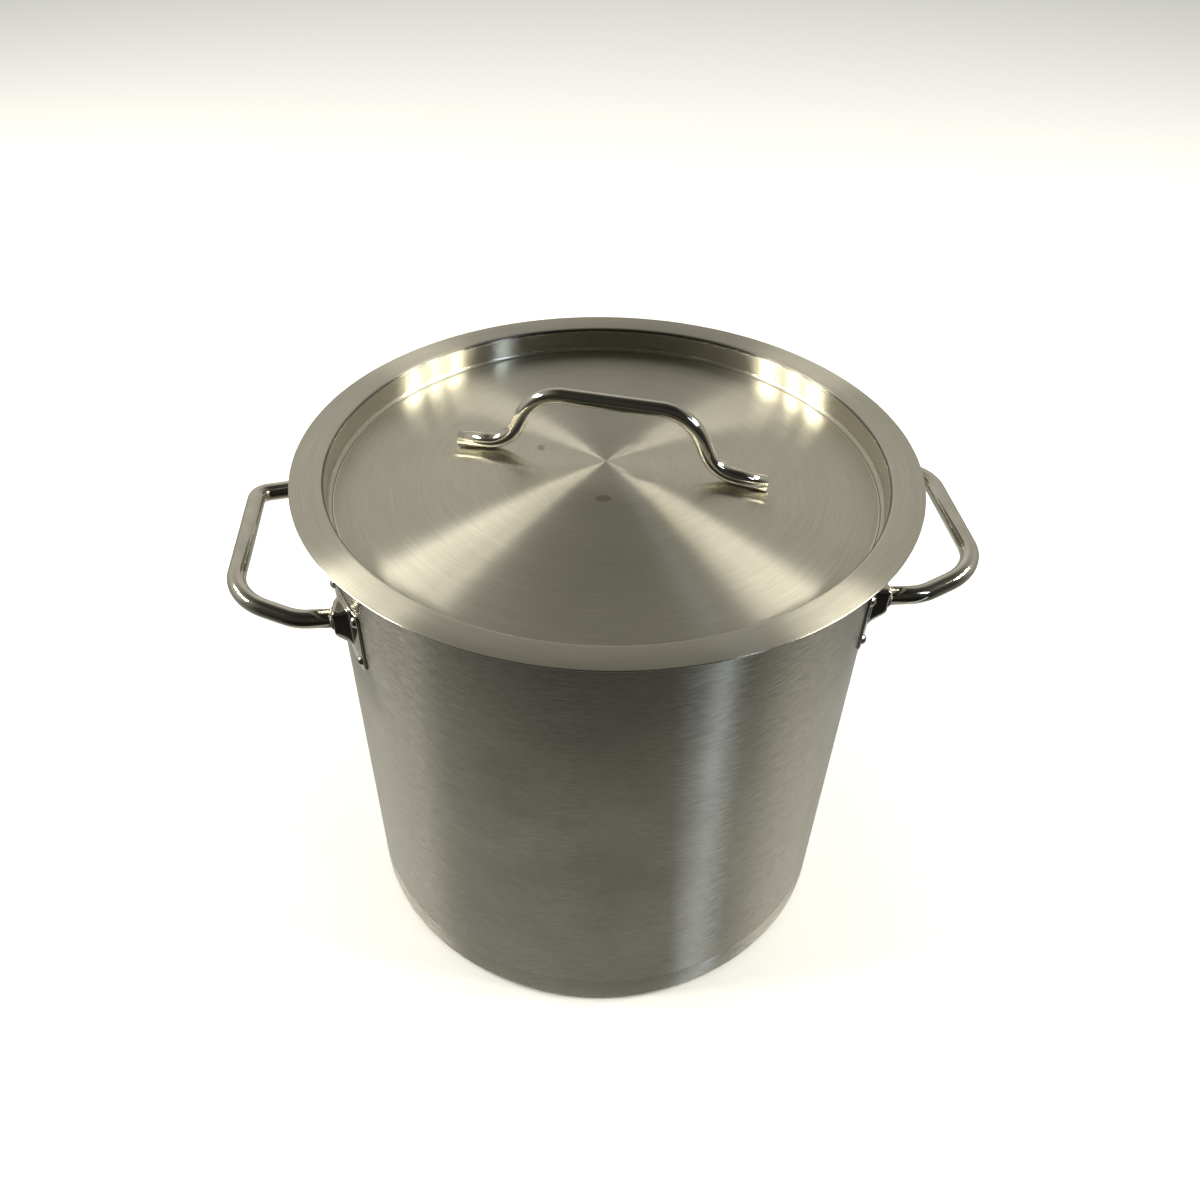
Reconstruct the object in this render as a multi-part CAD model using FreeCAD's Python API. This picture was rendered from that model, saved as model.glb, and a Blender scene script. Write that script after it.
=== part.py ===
import FreeCAD
import Part

import math
import os

# A 36 litre stainless brew kettle with a loose, recessed lid.
# Millimetres. Origin at the centre of the underside, +Z up, the two side
# handles along X, the front of the kettle towards -Y.

V = FreeCAD.Vector

# ---- driving dimensions -------------------------------------------------

INNER_DIAMETER = 360.0
WALL = 1.0
FLANGE_TOP = 357.4          # upper face of the lid's flange above the floor
LID_DIAMETER = 398.0
LID_SHEET = 1.0
LID_LIFT_GAP = 0.3          # air between the lid's flange and the rolled rim

# ---- base ---------------------------------------------------------------

CAPSULE_SHEET = 0.8
CAPSULE_HEIGHT = 25.0
CAPSULE_CORNER = 6.0
CORE_THICKNESS = 6.5
CORE_RADIUS = 174.0
FLOOR_CORNER = 8.0
JOGGLE = 2.0                # height over which the wall steps into the capsule

# ---- rim ----------------------------------------------------------------

CURL_INNER = 2.9            # radius of the hollow inside the rolled rim
CURL_END = math.radians(-60.0)

# ---- lid ----------------------------------------------------------------

LID_PLUG_CLEARANCE = 1.2    # between the lid's recess wall and the kettle wall
LID_BEND = 3.0              # radius of both bends, on the upper face
LID_DEPTH = 17.0            # flange down to the lowest ring of the panel
PANEL_SLOPE = math.atan(0.105)
CROWN_RADIUS = 90.0         # where the cone of the panel turns into its crown

# ---- lid handle ---------------------------------------------------------

LID_TUBE = 10.0
LID_TUBE_WALL = 1.0
LID_HANDLE_TURN = -18.6     # degrees from the line of the side handles
LID_HANDLE_OFFSET = V(2.6, 1.7, 0)
FOOT_END = 101.6
FOOT_BEND = 67.6
BAR_CORNER = 49.6
BAR_HEIGHT = 37.0           # centreline above the flange
FOOT_BEND_RADIUS = 24.0
GRIP_BEND_RADIUS = 30.0
FOOT_GAP = 0.2

# ---- side handles -------------------------------------------------------

TUBE = 12.0
TUBE_WALL = 1.2
HANDLE_DROP = 62.7          # legs' centreline below the lid's flange
BAR_RISE = 6.0              # outer bar above the legs
LEG_SIDE = 74.2             # half the distance between the two legs
LEG_END_GAP = 4.5           # leg's end inside the boss, clear of the curved wall
LEG_BEND = 197.4            # first bend, from the kettle's axis
BAR_REACH = 239.0           # outer bar, from the kettle's axis
BAR_SIDE = 57.0
LEG_BEND_RADIUS = 35.0
BAR_BEND_RADIUS = 36.0
TIGHT_BEND_RADIUS = 12.0    # rear bend of the left handle's bar

# ---- brackets -----------------------------------------------------------

PLATE = 1.6
BOSS_HEIGHT = 9.6
RIVET_SHANK = 2.1
RIVET_HEAD = 3.6
RIVET_DOME = 2.4
RIVET_CLEARANCE = 0.05

# ---- derived ------------------------------------------------------------

INNER = INNER_DIAMETER / 2
OUTER = INNER + WALL
LID_RADIUS = LID_DIAMETER / 2
HANDLE_Z = FLANGE_TOP - HANDLE_DROP
FLOOR_UNDERSIDE = CAPSULE_SHEET + CORE_THICKNESS
CAPSULE_INNER = OUTER - CAPSULE_SHEET
LEG_ANGLE = math.asin(LEG_SIDE / OUTER)
LEG_START = OUTER * math.cos(LEG_ANGLE)
BOSS_FACE = LEG_START + BOSS_HEIGHT


# ---- small tools --------------------------------------------------------

def line(a, b):
    return Part.LineSegment(a, b).toShape()


def arc(centre, radius, start, end):
    """Arc in the XZ plane, from one angle to another."""
    spots = []
    for angle in (start, (start + end) / 2, end):
        spots.append(centre + V(radius * math.cos(angle), 0, radius * math.sin(angle)))
    return Part.Arc(*spots).toShape()


def on_circle(centre, radius, angle):
    return centre + V(radius * math.cos(angle), 0, radius * math.sin(angle))


def turned(edges):
    """Solid of revolution about Z from a closed outline in the XZ plane."""
    face = Part.Face(Part.Wire(edges))
    return face.revolve(V(0, 0, 0), V(0, 0, 1), 360)


def corner_arc(before, corner, after, radius):
    """Tangent arc that rounds one corner of a path."""
    into = (corner - before).normalize()
    out = (after - corner).normalize()
    turn = into.getAngle(out)
    reach = radius * math.tan(turn / 2)
    start = corner - into * reach
    end = corner + out * reach
    inward = (out - into).normalize()
    centre = corner + inward * (radius / math.cos(turn / 2))
    middle = centre - inward * radius
    return start, middle, end


def rounded_path(points, radii):
    """Open path of straight runs joined by tangent arcs."""
    edges = []
    at = points[0]
    for i in range(1, len(points) - 1):
        start, middle, end = corner_arc(points[i - 1], points[i], points[i + 1], radii[i - 1])
        edges.append(line(at, start))
        edges.append(Part.Arc(start, middle, end).toShape())
        at = end
    edges.append(line(at, points[-1]))
    return Part.Wire(edges)


def rounded_outline(points, radius):
    """Closed polygon with every corner rounded."""
    count = len(points)
    arcs = []
    for i in range(count):
        arcs.append(corner_arc(points[i - 1], points[i], points[(i + 1) % count], radius))
    edges = []
    for i in range(count):
        start, middle, end = arcs[i]
        edges.append(Part.Arc(start, middle, end).toShape())
        edges.append(line(end, arcs[(i + 1) % count][0]))
    return Part.Wire(edges)


def rod(path, radius):
    """Round solid that follows a path."""
    first = path.Edges[0]
    start = first.valueAt(first.FirstParameter)
    circle = Part.Circle(start, first.tangentAt(first.FirstParameter), radius).toShape()
    return path.makePipe(Part.Face(Part.Wire(circle)))


def tube(path, diameter, wall):
    return rod(path, diameter / 2).cut(rod(path, diameter / 2 - wall))


def drum(radius):
    """Solid cylinder as tall as the kettle, used to trim parts to its wall."""
    return Part.makeCylinder(radius, FLANGE_TOP)


# ---- kettle body --------------------------------------------------------

def kettle_body():
    low_outer = CAPSULE_INNER
    low_inner = low_outer - WALL
    corner = V(low_outer - FLOOR_CORNER, 0, FLOOR_UNDERSIDE + FLOOR_CORNER)
    step = CAPSULE_HEIGHT
    curl_outer = CURL_INNER + WALL
    curl = V(OUTER + CURL_INNER, 0, FLANGE_TOP - LID_SHEET - LID_LIFT_GAP - curl_outer)
    floor_top = FLOOR_UNDERSIDE + WALL
    down = -math.pi / 2
    outline = [
        line(V(0, 0, FLOOR_UNDERSIDE), V(corner.x, 0, FLOOR_UNDERSIDE)),
        arc(corner, FLOOR_CORNER, down, 0),
        line(V(low_outer, 0, corner.z), V(low_outer, 0, step)),
        line(V(low_outer, 0, step), V(OUTER, 0, step)),
        line(V(OUTER, 0, step), V(OUTER, 0, curl.z)),
        arc(curl, CURL_INNER, math.pi, CURL_END),
        line(on_circle(curl, CURL_INNER, CURL_END), on_circle(curl, curl_outer, CURL_END)),
        arc(curl, curl_outer, CURL_END, math.pi),
        line(V(INNER, 0, curl.z), V(INNER, 0, step + JOGGLE)),
        line(V(INNER, 0, step + JOGGLE), V(low_inner, 0, step)),
        line(V(low_inner, 0, step), V(low_inner, 0, corner.z)),
        arc(corner, FLOOR_CORNER - WALL, 0, down),
        line(V(corner.x, 0, floor_top), V(0, 0, floor_top)),
        line(V(0, 0, floor_top), V(0, 0, FLOOR_UNDERSIDE)),
    ]
    return turned(outline)


def base_core():
    core = Part.makeCylinder(CORE_RADIUS, CORE_THICKNESS, V(0, 0, CAPSULE_SHEET))
    rim = [edge for edge in core.Edges if edge.BoundBox.ZMax < CAPSULE_SHEET + 0.1 and edge.Closed]
    return core.makeFillet(CAPSULE_CORNER - CAPSULE_SHEET, rim)


def base_capsule():
    corner = V(OUTER - CAPSULE_CORNER, 0, CAPSULE_CORNER)
    down = -math.pi / 2
    outline = [
        line(V(0, 0, 0), V(corner.x, 0, 0)),
        arc(corner, CAPSULE_CORNER, down, 0),
        line(V(OUTER, 0, corner.z), V(OUTER, 0, CAPSULE_HEIGHT)),
        line(V(OUTER, 0, CAPSULE_HEIGHT), V(CAPSULE_INNER, 0, CAPSULE_HEIGHT)),
        line(V(CAPSULE_INNER, 0, CAPSULE_HEIGHT), V(CAPSULE_INNER, 0, corner.z)),
        arc(corner, CAPSULE_CORNER - CAPSULE_SHEET, 0, down),
        line(V(corner.x, 0, CAPSULE_SHEET), V(0, 0, CAPSULE_SHEET)),
        line(V(0, 0, CAPSULE_SHEET), V(0, 0, 0)),
    ]
    return turned(outline)


# ---- side handles -------------------------------------------------------

def handle_path(rear_radius):
    """Centreline of a right-hand handle, from its front leg to its rear leg."""
    start = LEG_START + LEG_END_GAP
    bar_z = HANDLE_Z + BAR_RISE
    points = [
        V(start, -LEG_SIDE, HANDLE_Z),
        V(LEG_BEND, -LEG_SIDE, HANDLE_Z),
        V(BAR_REACH, -BAR_SIDE, bar_z),
        V(BAR_REACH, BAR_SIDE, bar_z),
        V(LEG_BEND, LEG_SIDE, HANDLE_Z),
        V(start, LEG_SIDE, HANDLE_Z),
    ]
    radii = [LEG_BEND_RADIUS, BAR_BEND_RADIUS, rear_radius, LEG_BEND_RADIUS]
    return rounded_path(points, radii)


def leg_solid():
    """Outside of the straight leg that enters the rear right bracket."""
    return Part.makeCylinder(TUBE / 2, 60, V(LEG_START - 20, LEG_SIDE, HANDLE_Z), V(1, 0, 0))


# ---- brackets -----------------------------------------------------------
# Made once at the rear right leg and mirrored to the other three legs.
# A plate's outline is given as (away from the handle's middle, up),
# measured along the wall from the leg's centre.

PLATE_OUTLINE = [(-34, 14), (19, 14), (19, -31.5), (10.5, -31.5), (-34, 0)]
BOSS_FOOT = [(-19, 10), (8.6, 10), (8.6, -26), (2.3, -26), (-19, -5)]
BOSS_TOP = [(-7.6, 9.5), (7.8, 9.5), (7.8, -9.3), (3.5, -9.3), (-7.6, -5.5)]
RIVET_SPOTS = [(14, 7), (13.8, -24.8), (-27.5, 7)]
PLATE_CORNER = 3.5
BOSS_FOOT_CORNER = 3.0
BOSS_TOP_CORNER = 2.2


def on_tangent(away, up, radius):
    """Point on the plane that faces the leg's place on the wall."""
    normal = V(math.cos(LEG_ANGLE), math.sin(LEG_ANGLE), 0)
    along = V(-math.sin(LEG_ANGLE), math.cos(LEG_ANGLE), 0)
    return normal * radius + along * away + V(0, 0, HANDLE_Z + up)


def boss(inset):
    """Five-sided pressed boss, or its hollow when inset by the sheet."""
    foot = [on_tangent(a, u, OUTER - 6) for a, u in shrink(BOSS_FOOT, inset)]
    face = BOSS_FACE - inset
    top = [V(face, LEG_SIDE + a, HANDLE_Z + u) for a, u in shrink(BOSS_TOP, inset)]
    rings = [
        rounded_outline(foot, BOSS_FOOT_CORNER),
        rounded_outline(top, BOSS_TOP_CORNER),
    ]
    return Part.makeLoft(rings, True, True)


def shrink(points, inset):
    """Pull a polygon's corners towards its middle."""
    middle_a = sum(p[0] for p in points) / len(points)
    middle_u = sum(p[1] for p in points) / len(points)
    pulled = []
    for a, u in points:
        reach = math.hypot(a - middle_a, u - middle_u)
        keep = 1 - inset / reach
        pulled.append((middle_a + (a - middle_a) * keep, middle_u + (u - middle_u) * keep))
    return pulled


def bracket():
    ring = [on_tangent(a, u, OUTER - 15) for a, u in PLATE_OUTLINE]
    outward = V(math.cos(LEG_ANGLE), math.sin(LEG_ANGLE), 0)
    blank = Part.Face(rounded_outline(ring, PLATE_CORNER)).extrude(outward * 30)
    plate = blank.common(drum(OUTER + PLATE))
    pressed = plate.fuse(boss(0)).cut(boss(PLATE))
    pressed = pressed.cut(drum(OUTER)).cut(leg_solid())
    for shank in rivet_shanks(RIVET_SHANK + RIVET_CLEARANCE):
        pressed = pressed.cut(shank)
    return pressed.removeSplitter()


def rivet_axis(spot):
    """Direction and height of a rivet's own radial axis."""
    away, up = spot
    angle = LEG_ANGLE + away / OUTER
    return V(math.cos(angle), math.sin(angle), 0), V(0, 0, HANDLE_Z + up)


def rivet_shanks(radius):
    shanks = []
    for spot in RIVET_SPOTS:
        outward, height = rivet_axis(spot)
        start = outward * (INNER - 1) + height
        shanks.append(Part.makeCylinder(radius, WALL + PLATE + 2, start, outward))
    return shanks


def rivets():
    heads = []
    for spot, shank in zip(RIVET_SPOTS, rivet_shanks(RIVET_SHANK)):
        outward, height = rivet_axis(spot)
        ball = (RIVET_HEAD ** 2 + RIVET_DOME ** 2) / (2 * RIVET_DOME)
        centre = outward * (OUTER + PLATE + RIVET_DOME - ball) + height
        blank = Part.makeCylinder(RIVET_HEAD, 12, outward * (OUTER - 4) + height, outward)
        dome = Part.makeSphere(ball, centre).common(blank).cut(drum(OUTER + PLATE))
        tail = Part.makeCylinder(RIVET_HEAD, 3, outward * (INNER - 1.4) + height, outward)
        tail = tail.common(drum(INNER))
        heads.append(dome.fuse([shank, tail]).removeSplitter())
    return Part.makeCompound(heads)


def leg_weld():
    """Bead that closes the joint between the leg and the boss."""
    start = V(BOSS_FACE, LEG_SIDE, HANDLE_Z)
    bead = Part.makeCone(TUBE / 2 + 1.1, TUBE / 2 + 0.3, 1.2, start, V(1, 0, 0))
    return bead.cut(leg_solid())


# ---- lid ----------------------------------------------------------------

def lid_outline():
    """Centres of the sheet's two bends, of its crown and of its rounded edge."""
    plug = INNER - LID_PLUG_CLEARANCE - LID_SHEET
    slope = PANEL_SLOPE
    normal = V(math.sin(slope), 0, math.cos(slope))
    top_bend = V(plug + LID_BEND, 0, FLANGE_TOP - LID_BEND)
    low_bend = V(plug - LID_BEND, 0, FLANGE_TOP - LID_DEPTH + LID_BEND)
    crown_sphere = CROWN_RADIUS / math.sin(slope)
    panel_end = low_bend - normal * LID_BEND
    crown_edge = panel_end.z + (panel_end.x - CROWN_RADIUS) * math.tan(slope)
    crown = V(0, 0, crown_edge - crown_sphere * math.cos(slope))
    lip = V(LID_RADIUS - LID_SHEET / 2, 0, FLANGE_TOP - LID_SHEET / 2)
    return top_bend, low_bend, crown, crown_sphere, lip


def lid_face(depth, inward):
    """Edges of one face of the sheet, at a depth below its upper face."""
    top_bend, low_bend, crown, crown_sphere, lip = lid_outline()
    up = math.pi / 2
    lean = up - PANEL_SLOPE
    inner_bend = LID_BEND - depth
    outer_bend = LID_BEND + depth
    sphere = crown_sphere - depth
    level = FLANGE_TOP - depth
    panel_end = on_circle(low_bend, outer_bend, lean + math.pi)
    crown_edge = on_circle(crown, sphere, lean)
    edges = [
        line(V(lip.x, 0, level), V(top_bend.x, 0, level)),
        arc(top_bend, inner_bend, up, math.pi),
        line(on_circle(top_bend, inner_bend, math.pi), on_circle(low_bend, outer_bend, 0)),
        arc(low_bend, outer_bend, 0, lean - math.pi),
        line(panel_end, crown_edge),
        arc(crown, sphere, lean, up),
    ]
    if inward:
        return edges
    return edges[::-1]


def lid_panel():
    lip = lid_outline()[4]
    quarter = math.pi / 2
    edges = lid_face(0, True)
    crown_top = edges[-1].Vertexes[-1].Point
    lower = lid_face(LID_SHEET, False)
    edges.append(line(V(0, 0, crown_top.z), V(0, 0, crown_top.z - LID_SHEET)))
    edges.extend(lower)
    edges.append(arc(lip, LID_SHEET / 2, -quarter, quarter))
    return turned(Part.__sortEdges__(edges))


def panel_height(radius):
    """Height of the panel's upper face at a distance from the lid's axis."""
    crown, crown_sphere = lid_outline()[2:4]
    if radius < CROWN_RADIUS:
        return crown.z + math.sqrt(crown_sphere ** 2 - radius ** 2)
    edge = crown.z + crown_sphere * math.cos(PANEL_SLOPE)
    return edge - (radius - CROWN_RADIUS) * math.tan(PANEL_SLOPE)


def place_on_lid(shape):
    """Turn and shift from the handle's own plane to its place on the lid."""
    placed = shape.copy()
    placed.rotate(V(0, 0, 0), V(0, 0, 1), LID_HANDLE_TURN)
    placed.translate(LID_HANDLE_OFFSET)
    return placed


def foot_point(along):
    """Centre of the handle's foot where it lies on the panel."""
    spot = place_on_lid(Part.Vertex(V(along, 0, 0))).Point
    height = panel_height(math.hypot(spot.x, spot.y))
    return V(along, 0, height + LID_TUBE / 2 + FOOT_GAP)


def lid_handle_path():
    bar = FLANGE_TOP + BAR_HEIGHT
    points = [
        foot_point(-FOOT_END),
        foot_point(-FOOT_BEND),
        V(-BAR_CORNER, 0, bar),
        V(BAR_CORNER, 0, bar),
        foot_point(FOOT_BEND),
        foot_point(FOOT_END),
    ]
    radii = [FOOT_BEND_RADIUS, GRIP_BEND_RADIUS, GRIP_BEND_RADIUS, FOOT_BEND_RADIUS]
    return rounded_path(points, radii)


def lid_handle():
    return place_on_lid(tube(lid_handle_path(), LID_TUBE, LID_TUBE_WALL))


def foot_weld(side, panel):
    """Flat weld between one foot of the lid handle and the panel."""
    length = 20.0
    width = 4.4
    middle = (FOOT_END + FOOT_BEND) / 2 + 2
    pad = Part.makeBox(length, width, 3, V(-length / 2, -width / 2, -1.5))
    pad.rotate(V(0, 0, 0), V(0, 1, 0), math.degrees(PANEL_SLOPE))
    pad.translate(V(middle, 0, panel_height(middle)))
    if side < 0:
        pad = pad.mirror(V(0, 0, 0), V(1, 0, 0))
    pad = pad.cut(rod(lid_handle_path(), LID_TUBE / 2))
    below = Part.makeCylinder(LID_RADIUS, LID_DEPTH * 2, V(0, 0, FLANGE_TOP - 2 * LID_DEPTH))
    pad = place_on_lid(pad).common(below).cut(panel)
    pieces = sorted(pad.Solids, key=lambda solid: solid.BoundBox.ZMax)
    return pieces[-1]


# ---- all pieces ---------------------------------------------------------

def mirrored(shape, left, front):
    """Copy of a rear right part at another leg."""
    copy = shape
    if left:
        copy = copy.mirror(V(0, 0, 0), V(1, 0, 0))
    if front:
        copy = copy.mirror(V(0, 0, 0), V(0, 1, 0))
    return copy


def all_parts():
    parts = {}
    corners = [
        ("right_rear", False, False),
        ("right_front", False, True),
        ("left_rear", True, False),
        ("left_front", True, True),
    ]
    shell = kettle_body()
    plate = bracket()
    group = rivets()
    bead = leg_weld()
    holes = rivet_shanks(RIVET_SHANK + RIVET_CLEARANCE)
    for name, left, front in corners:
        parts["bracket_" + name] = mirrored(plate, left, front)
        parts["rivets_" + name] = mirrored(group, left, front)
        parts["leg_weld_" + name] = mirrored(bead, left, front)
        for hole in holes:
            shell = shell.cut(mirrored(hole, left, front))
    parts["kettle_shell"] = shell
    parts["base_core_disc"] = base_core()
    parts["base_capsule"] = base_capsule()
    right = tube(handle_path(BAR_BEND_RADIUS), TUBE, TUBE_WALL)
    left = tube(handle_path(TIGHT_BEND_RADIUS), TUBE, TUBE_WALL)
    parts["side_handle_right"] = right
    parts["side_handle_left"] = left.mirror(V(0, 0, 0), V(1, 0, 0))
    panel = lid_panel()
    parts["lid_panel"] = panel
    parts["lid_handle"] = lid_handle()
    parts["lid_weld_right"] = foot_weld(1, panel)
    parts["lid_weld_left"] = foot_weld(-1, panel)
    return parts


os.makedirs("parts", exist_ok=True)
for node, shape in all_parts().items():
    box = shape.BoundBox
    print(
        f"{node:24s} solids {len(shape.Solids):2d} valid {shape.isValid()} "
        f"volume {shape.Volume:10.0f}  x {box.XMin:7.1f} {box.XMax:7.1f} "
        f" y {box.YMin:7.1f} {box.YMax:7.1f}  z {box.ZMin:6.1f} {box.ZMax:6.1f}"
    )
    shape.exportStep(f"parts/{node}.step")
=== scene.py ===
import math

import bmesh
import bpy
from mathutils import Matrix, Vector


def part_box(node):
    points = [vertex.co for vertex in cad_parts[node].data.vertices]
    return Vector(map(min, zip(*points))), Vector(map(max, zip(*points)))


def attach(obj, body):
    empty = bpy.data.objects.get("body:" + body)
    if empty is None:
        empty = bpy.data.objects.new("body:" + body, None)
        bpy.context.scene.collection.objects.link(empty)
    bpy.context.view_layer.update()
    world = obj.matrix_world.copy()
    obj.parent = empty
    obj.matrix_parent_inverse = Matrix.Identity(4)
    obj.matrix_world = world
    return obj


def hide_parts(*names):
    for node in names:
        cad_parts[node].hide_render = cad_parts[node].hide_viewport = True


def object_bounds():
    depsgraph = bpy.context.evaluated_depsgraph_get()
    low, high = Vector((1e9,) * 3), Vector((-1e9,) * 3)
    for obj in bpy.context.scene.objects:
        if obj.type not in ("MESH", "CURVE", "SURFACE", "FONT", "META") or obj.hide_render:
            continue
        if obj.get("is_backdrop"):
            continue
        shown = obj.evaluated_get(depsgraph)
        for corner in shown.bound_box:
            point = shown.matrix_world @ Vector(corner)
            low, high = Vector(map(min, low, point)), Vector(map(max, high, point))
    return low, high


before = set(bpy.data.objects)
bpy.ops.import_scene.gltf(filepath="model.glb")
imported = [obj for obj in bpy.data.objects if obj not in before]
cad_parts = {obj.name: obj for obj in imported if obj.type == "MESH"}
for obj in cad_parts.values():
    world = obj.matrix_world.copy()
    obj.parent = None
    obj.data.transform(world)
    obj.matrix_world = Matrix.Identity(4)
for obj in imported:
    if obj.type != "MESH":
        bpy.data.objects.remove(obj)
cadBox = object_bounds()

mm = 0.001
scratchDepth = 0.02 * mm
print("frame loaded:", len(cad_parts), "nodes")


def hexColour(text):
    # sRGB hex to the linear values that shaders use
    def linear(part):
        value = int(part, 16) / 255
        return value / 12.92 if value <= 0.04045 else ((value + 0.055) / 1.055) ** 2.4
    return (linear(text[1:3]), linear(text[3:5]), linear(text[5:7]), 1.0)


def addNode(tree, kind, inputs=None, **settings):
    # one node with its settings; an input is a value or the socket that feeds it
    node = tree.nodes.new(kind)
    for key, value in settings.items():
        setattr(node, key, value)
    for socket, value in (inputs or {}).items():
        if isinstance(value, bpy.types.NodeSocket):
            tree.links.new(value, node.inputs[socket])
        else:
            node.inputs[socket].default_value = value
    return node


def newGroup(name, sizes):
    # geometry tree with a geometry input, named number inputs and a geometry output
    tree = bpy.data.node_groups.new(name, "GeometryNodeTree")
    tree.interface.new_socket("Geometry", in_out="INPUT", socket_type="NodeSocketGeometry")
    for label, value in sizes.items():
        kind = "NodeSocketInt" if isinstance(value, int) else "NodeSocketFloat"
        socket = tree.interface.new_socket(label, in_out="INPUT", socket_type=kind)
        socket.default_value = value
    tree.interface.new_socket("Geometry", in_out="OUTPUT", socket_type="NodeSocketGeometry")
    return tree, tree.nodes.new("NodeGroupInput").outputs


def closeGroup(tree, geometry, material):
    # every tree ends in real geometry with its material on it
    real = addNode(tree, "GeometryNodeRealizeInstances", {0: geometry})
    painted = addNode(tree, "GeometryNodeSetMaterial", {0: real.outputs[0], "Material": material})
    addNode(tree, "NodeGroupOutput", {0: painted.outputs[0]})


def plainMesh(holder):
    # the holder's mesh with its live modifiers applied
    graph = bpy.context.evaluated_depsgraph_get()
    return bpy.data.meshes.new_from_object(holder.evaluated_get(graph), depsgraph=graph)


def grow(name, data, tree, sizes):
    # runs a geometry tree on some data and keeps the result as a plain mesh
    seed = bpy.data.objects.new(name + ".seed", data)
    bpy.context.scene.collection.objects.link(seed)
    modifier = seed.modifiers.new("grow", "NODES")
    modifier.node_group = tree
    for item in tree.interface.items_tree:
        if item.in_out == "INPUT" and item.name in sizes:
            modifier[item.identifier] = sizes[item.name]
    mesh = plainMesh(seed)
    seed.modifiers.remove(modifier)
    bpy.data.objects.remove(seed)
    mesh.name = name
    piece = bpy.data.objects.new(name, mesh)
    bpy.context.scene.collection.objects.link(piece)
    return piece


def smooth(piece, crease=38):
    # smooth shading, with the edges that are really sharp kept sharp
    piece.data.polygons.foreach_set("use_smooth", [True] * len(piece.data.polygons))
    piece.data.set_sharp_from_angle(angle=math.radians(crease))
    return piece


def faceOut(piece):
    # closed mesh with its faces turned outwards
    bm = bmesh.new()
    bm.from_mesh(piece.data)
    bmesh.ops.remove_doubles(bm, verts=bm.verts, dist=1e-6)
    bmesh.ops.recalc_face_normals(bm, faces=bm.faces)
    bm.to_mesh(piece.data)
    bm.free()
    return piece


def settle(piece, body, slot, *nodes):
    # the piece moves with its body and stands for its CAD nodes
    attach(piece, body)
    if nodes:
        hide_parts(*nodes)
    return piece


def arcPoints(centre, radius, start, end, steps=8):
    # (r, z) points along an arc, angles in degrees
    points = []
    for i in range(steps + 1):
        angle = math.radians(start + (end - start) * i / steps)
        points.append((centre[0] + radius * math.cos(angle), centre[1] + radius * math.sin(angle)))
    return points


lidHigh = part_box("lid_panel")[1]
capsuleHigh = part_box("base_capsule")[1]
shellLow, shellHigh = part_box("kettle_shell")
# the kettle's own sizes, in metres; the lengths in each piece's dictionary are in millimetres
kettle = {
    "wallRadius": capsuleHigh.x,
    "wallSheet": 1.0 * mm,
    "flangeTop": lidHigh.z,
    "rimTop": shellHigh.z,
    "capsuleTop": capsuleHigh.z,
    "lidRadius": lidHigh.x,
}


def roundField(tree, along, across):
    # a field that runs round the kettle's axis, long with the brush marks and short
    # across them, on the wall and on the flat faces alike
    place = addNode(tree, "ShaderNodeTexCoord").outputs["Object"]
    flat = addNode(tree, "ShaderNodeVectorMath", {0: place, 1: (1, 1, 0)}, operation="MULTIPLY").outputs[0]
    spoke = addNode(tree, "ShaderNodeVectorMath", {0: flat}, operation="NORMALIZE").outputs[0]
    radius = addNode(tree, "ShaderNodeVectorMath", {0: flat}, operation="LENGTH").outputs["Value"]
    height = addNode(tree, "ShaderNodeSeparateXYZ", {0: place}).outputs[2]
    course = addNode(tree, "ShaderNodeMath", {0: radius, 1: height}).outputs[0]
    step = addNode(tree, "ShaderNodeMath", {0: course, 1: across}, operation="MULTIPLY").outputs[0]
    turn = addNode(tree, "ShaderNodeVectorMath", {0: spoke, "Scale": along}, operation="SCALE").outputs[0]
    lift = addNode(tree, "ShaderNodeCombineXYZ", {2: step}).outputs[0]
    return addNode(tree, "ShaderNodeVectorMath", {0: turn, 1: lift}).outputs[0]


def noise(tree, vector, scale=1.0, detail=2.0, roughness=0.6):
    sockets = {"Vector": vector, "Scale": scale, "Detail": detail, "Roughness": roughness}
    return addNode(tree, "ShaderNodeTexNoise", sockets).outputs["Fac"]


def remap(tree, value, low, high, toLow, toHigh):
    sockets = {"Value": value, 1: low, 2: high, 3: toLow, 4: toHigh}
    return addNode(tree, "ShaderNodeMapRange", sockets).outputs[0]


def mixColour(tree, share, first, second, blend="MIX"):
    sockets = {0: share, 6: first, 7: second}
    return addNode(tree, "ShaderNodeMix", sockets, data_type="RGBA", blend_type=blend).outputs[2]


def newMetal(name):
    material = bpy.data.materials.new(name)
    material.use_nodes = True
    shader = material.node_tree.nodes["Principled BSDF"]
    shader.inputs["Metallic"].default_value = 1.0
    return material, material.node_tree, shader


def dropMark(tree, place, mark):
    # soft-edged oval that a dried drop leaves; x, y, width and depth in millimetres
    x, y, width, depth = mark
    centre = (x * mm, y * mm, 0)
    away = addNode(tree, "ShaderNodeVectorMath", {0: place, 1: centre}, operation="SUBTRACT").outputs[0]
    squash = (2 / (width * mm), 2 / (depth * mm), 0)
    oval = addNode(tree, "ShaderNodeVectorMath", {0: away, 1: squash}, operation="MULTIPLY").outputs[0]
    reach = addNode(tree, "ShaderNodeVectorMath", {0: oval}, operation="LENGTH").outputs["Value"]
    edgeStart, edgeEnd, strength = 0.75, 1.1, 0.6
    return remap(tree, reach, edgeStart, edgeEnd, strength, 0.0)


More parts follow.
